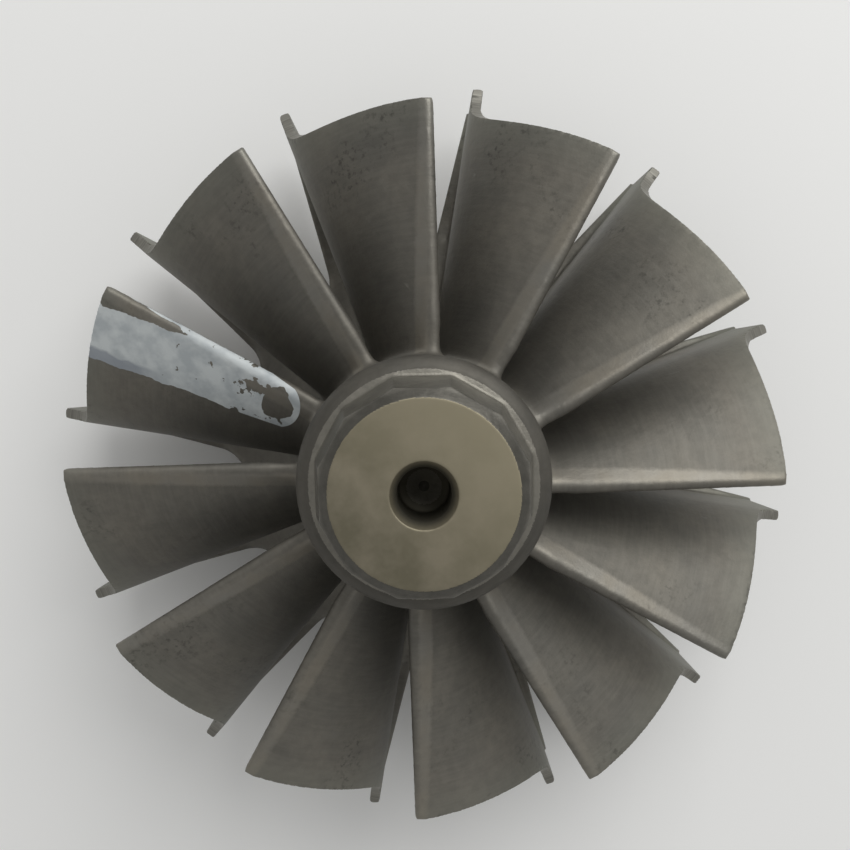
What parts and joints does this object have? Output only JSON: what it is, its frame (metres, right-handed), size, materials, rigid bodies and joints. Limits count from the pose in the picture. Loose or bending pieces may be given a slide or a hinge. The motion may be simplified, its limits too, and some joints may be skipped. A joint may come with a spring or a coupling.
{
  "type": "turbine wheel",
  "caption": "Turbocharger turbine wheel: thick twisted blades on a deeply scalloped disc, a flat-sided drive nose with a centre hole, and a weld boss for the shaft at the back.",
  "frame": {"origin": "on the wheel's axis, in the plane of the back boss's flat face", "axes": "+Z along the wheel's axis, from the back boss towards the nose; +X through the middle plane of one blade"},
  "size_m": [0.055, 0.055, 0.0318],
  "materials": {
    "cast_nickel_alloy": "matt as-cast nickel alloy, greyed by heat, with a ground face on the nose"
  },
  "bodies": {
    "root": {"turbine_wheel": "cast_nickel_alloy"}
  },
  "joints": []
}
